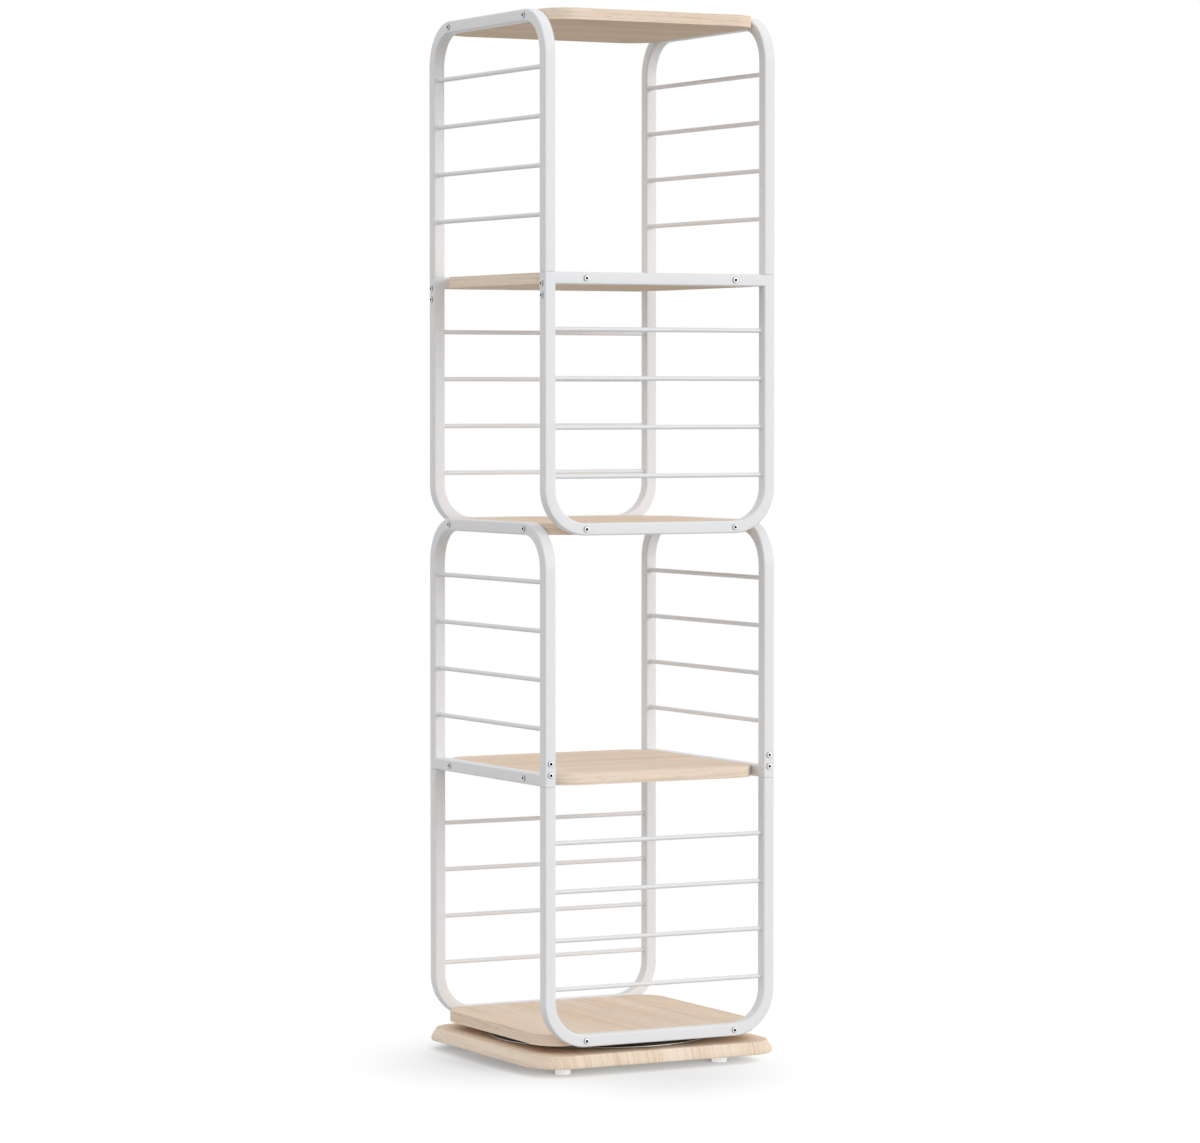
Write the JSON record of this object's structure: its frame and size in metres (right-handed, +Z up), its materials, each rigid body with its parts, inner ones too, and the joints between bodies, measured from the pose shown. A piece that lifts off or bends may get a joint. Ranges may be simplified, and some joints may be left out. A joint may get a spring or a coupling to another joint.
{
  "type": "revolving bookcase",
  "caption": "Tall square open bookcase tower of white tube frames and oak boards with cross rods, turning on a ring bearing over a square footed base plate.",
  "frame": {"origin": "on the floor, below the centre of the base plate, on the turntable's axis", "axes": "+Z up; -Y is the front, which the upper closed frame and the bottom open frame face; +X to the right seen from the front"},
  "size_m": [0.362, 0.362, 1.3811],
  "materials": {
    "white_steel": "white powder coat, smooth semi-matt",
    "oak_board": "light oak laminate, satin",
    "bearing_metal": "bright zinc-plated steel",
    "white_plastic": "moulded, matt",
    "screw_steel": "plated button-head screws"
  },
  "bodies": {
    "base": {"base_plate": "oak_board", "foot_front_left": "white_plastic", "foot_front_right": "white_plastic", "foot_back_left": "white_plastic", "foot_back_right": "white_plastic", "turntable_lower_ring": "bearing_metal"},
    "tower": {"frame_top_left": "white_steel", "frame_top_right": "white_steel", "frame_upper_front": "white_steel", "frame_upper_back": "white_steel", "frame_lower_left": "white_steel", "frame_lower_right": "white_steel", "frame_bottom_front": "white_steel", "frame_bottom_back": "white_steel", "shelf_top": "oak_board", "shelf_upper": "oak_board", "shelf_middle": "oak_board", "shelf_lower": "oak_board", "shelf_bottom": "oak_board", "turntable_upper_ring": "bearing_metal", "shelf_screw_01": "screw_steel", "shelf_screw_02": "screw_steel", "shelf_screw_03": "screw_steel", "shelf_screw_04": "screw_steel", "shelf_screw_05": "screw_steel", "shelf_screw_06": "screw_steel", "shelf_screw_07": "screw_steel", "shelf_screw_08": "screw_steel", "shelf_screw_09": "screw_steel", "shelf_screw_10": "screw_steel", "shelf_screw_11": "screw_steel", "shelf_screw_12": "screw_steel", "shelf_screw_13": "screw_steel", "shelf_screw_14": "screw_steel", "shelf_screw_15": "screw_steel", "shelf_screw_16": "screw_steel", "shelf_screw_17": "screw_steel", "shelf_screw_18": "screw_steel", "shelf_screw_19": "screw_steel", "shelf_screw_20": "screw_steel", "shelf_screw_21": "screw_steel", "shelf_screw_22": "screw_steel", "shelf_screw_23": "screw_steel", "shelf_screw_24": "screw_steel", "joint_screw_01": "screw_steel", "joint_screw_02": "screw_steel", "joint_screw_03": "screw_steel", "joint_screw_04": "screw_steel", "joint_screw_05": "screw_steel", "joint_screw_06": "screw_steel", "joint_screw_07": "screw_steel", "joint_screw_08": "screw_steel", "joint_screw_09": "screw_steel", "joint_screw_10": "screw_steel", "joint_screw_11": "screw_steel", "joint_screw_12": "screw_steel", "joint_screw_13": "screw_steel", "joint_screw_14": "screw_steel", "joint_screw_15": "screw_steel", "joint_screw_16": "screw_steel"}
  },
  "joints": [
    {"name": "turntable", "type": "hinge", "parent": "base", "child": "tower", "pos_m": [0, 0, 0.0364], "axis": [0, 0, 1], "continuous": true}
  ]
}
